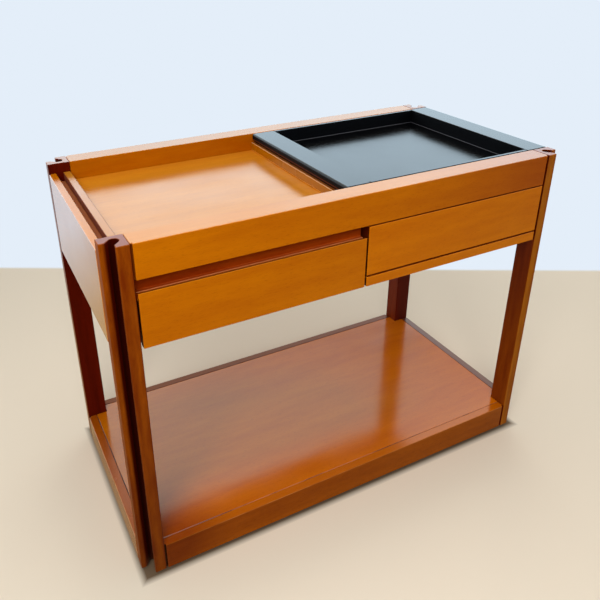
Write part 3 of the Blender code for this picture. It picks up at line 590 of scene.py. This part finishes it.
# Matt paper: a warm white without shine, with a painted shadow under the cart and just round it, and a paler,
# cooler backdrop past its line.
paper.use_nodes = True
tree = paper.node_tree
shader = tree.nodes["Principled BSDF"]
place = put(tree, "ShaderNodeTexCoord", {}).outputs["Object"]
behind = put(tree, "ShaderNodeVectorMath", {
    0: place, 1: BACKDROP_WAY}, operation="DOT_PRODUCT").outputs["Value"]
rays = put(tree, "ShaderNodeLightPath", {}).outputs
line = put(tree, "ShaderNodeMapRange", {
    "Value": behind, "From Min": BACKDROP_LINE, "From Max": BACKDROP_LINE + LINE_WIDTH}).outputs[0]
blur = put(tree, "ShaderNodeMapRange", {
    "Value": behind, "From Min": GLOSS_LINE_START, "From Max": GLOSS_LINE_END}).outputs[0]
edge = put(tree, "ShaderNodeMix", {0: rays["Is Glossy Ray"], 2: line, 3: blur}).outputs[0]
away = put(tree, "ShaderNodeVectorMath", {0: place}, operation="LENGTH").outputs["Value"]
far = put(tree, "ShaderNodeMapRange", {
    "Value": away, "From Min": FADE_START, "From Max": FADE_END}).outputs[0]
far = put(tree, "ShaderNodeMath", {0: far, 1: rays["Is Camera Ray"]}, operation="MULTIPLY").outputs[0]
edge = put(tree, "ShaderNodeMath", {0: edge, 1: far}, operation="MAXIMUM").outputs[0]
paint = put(tree, "ShaderNodeMix", {
    0: rays["Is Diffuse Ray"], 6: linear("#DED1BC"), 7: linear("#988C7C")}, data_type="RGBA").outputs[2]
paint = put(tree, "ShaderNodeMix", {
    0: rays["Is Glossy Ray"], 6: paint, 7: linear("#C8B082")}, data_type="RGBA").outputs[2]
# Painted shadow under the cart and just round it, seen by the camera only.
past = put(tree, "ShaderNodeVectorMath", {0: place}, operation="ABSOLUTE").outputs[0]
past = put(tree, "ShaderNodeVectorMath", {
    0: past, 1: (half_length, half_depth, 0)}, operation="SUBTRACT").outputs[0]
past_x, past_y, _ = put(tree, "ShaderNodeSeparateXYZ", {0: past}).outputs
past = put(tree, "ShaderNodeMath", {0: past_x, 1: past_y}, operation="MAXIMUM").outputs[0]
shade = put(tree, "ShaderNodeMapRange", {
    "Value": past, "From Min": SHADE_END, "From Max": SHADE_START}).outputs[0]
shade = put(tree, "ShaderNodeMath", {0: shade, 1: rays["Is Camera Ray"]}, operation="MULTIPLY").outputs[0]
paint = put(tree, "ShaderNodeMix", {0: shade, 6: paint, 7: linear("#5A4630")}, data_type="RGBA").outputs[2]
tree.links.new(paint, shader.inputs["Base Color"])
shader.inputs["Roughness"].default_value = 0.9
bright = put(tree, "ShaderNodeMapRange", {
    "Value": rays["Is Glossy Ray"], "To Min": 1.0, "To Max": 1.1}).outputs[0]
backdrop = put(tree, "ShaderNodeEmission", {"Color": linear("#E4EEF9"), "Strength": bright}).outputs[0]
ground = put(tree, "ShaderNodeMixShader", {0: edge, 1: shader.outputs[0], 2: backdrop}).outputs[0]
tree.links.new(ground, tree.nodes["Material Output"].inputs["Surface"])
floor_mesh.materials.append(paper)

world = bpy.data.worlds.new("soft_room")
bpy.context.scene.world = world
world.use_nodes = True
tree = world.node_tree
soft = tree.nodes["Background"]
soft.inputs["Color"].default_value = linear("#EEF2F6")
soft.inputs["Strength"].default_value = 0.25
# The gloss mirrors a room: pale daylight low down, plaster above it, and a dimmer band between the two.
direction = put(tree, "ShaderNodeTexCoord", {}).outputs["Generated"]
across, _, height = put(tree, "ShaderNodeSeparateXYZ", {0: direction}).outputs
ceiling = put(tree, "ShaderNodeMapRange", {"Value": height, "From Min": 0.40, "From Max": 0.54}).outputs[0]
window = put(tree, "ShaderNodeMapRange", {
    "Value": across, "From Min": 0.15, "From Max": 0.60, "To Min": 1.25, "To Max": 0.95}).outputs[0]
plaster = put(tree, "ShaderNodeVectorMath", {
    0: linear("#B5B2A8")[:3], "Scale": window}, operation="SCALE").outputs[0]
walls = put(tree, "ShaderNodeMix", {
    0: ceiling, 6: linear("#D8F0FF"), 7: plaster}, data_type="RGBA").outputs[2]
lit = put(tree, "ShaderNodeMapRange", {
    "Value": height, "From Min": 0.26, "From Max": 0.44, "To Min": 2.464, "To Max": 4.48}).outputs[0]
rising = put(tree, "ShaderNodeMapRange", {"Value": height, "From Min": 0.48, "From Max": 0.51}).outputs[0]
falling = put(tree, "ShaderNodeMapRange", {"Value": height, "From Min": 0.61, "From Max": 0.56}).outputs[0]
dim = put(tree, "ShaderNodeMath", {0: rising, 1: falling}, operation="MULTIPLY").outputs[0]
lit = put(tree, "ShaderNodeMath", {0: dim, 1: -2.576, 2: lit}, operation="MULTIPLY_ADD").outputs[0]
gloss = put(tree, "ShaderNodeBackground", {"Color": walls, "Strength": lit}).outputs[0]
pale = put(tree, "ShaderNodeBackground", {"Color": linear("#E4EEF9"), "Strength": 1.0}).outputs[0]
rays = put(tree, "ShaderNodeLightPath", {}).outputs
room = put(tree, "ShaderNodeMixShader", {0: rays["Is Glossy Ray"], 1: soft.outputs[0], 2: gloss}).outputs[0]
room = put(tree, "ShaderNodeMixShader", {0: rays["Is Camera Ray"], 1: room, 2: pale}).outputs[0]
tree.links.new(room, tree.nodes["World Output"].inputs["Surface"])


def softbox(name, location, size, watts, mirrored=True, target=(0, 0, 0.4)):
    """A large square lamp that faces the cart, and shows in its gloss or not."""
    lamp = bpy.data.lights.new(name, "AREA")
    lamp.energy = watts
    lamp.size = size
    box = bpy.data.objects.new(name, lamp)
    box.location = location
    box.visible_glossy = mirrored
    direction = [b - a for a, b in zip(location, target)]
    box.rotation_euler = (math.atan2(math.hypot(direction[0], direction[1]), -direction[2]), 0,
                          math.atan2(direction[1], direction[0]) - math.pi / 2)
    bpy.context.scene.collection.objects.link(box)


softbox("front_softbox", (-1.2, -1.7, 2.0), 1.4, 64)
softbox("overhead_softbox", (0.2, 0.2, 3.2), 2.2, 31)
softbox("rear_softbox", (1.5, 1.8, 0.8), 1.4, 22, mirrored=False)

camera_data = bpy.data.cameras.new("photo_camera")
camera_data.sensor_width = 36
camera_data.lens = 38.93
camera_data.shift_x = 0.0552
camera_data.shift_y = -0.1006
camera = bpy.data.objects.new("photo_camera", camera_data)
camera.location = (-0.5938, -1.0233, 1.0475)
camera.rotation_euler = [math.radians(angle) for angle in (64.494, 0.663, -26.92)]
bpy.context.scene.collection.objects.link(camera)
bpy.context.scene.camera = camera
bpy.context.scene.view_settings.view_transform = "Standard"
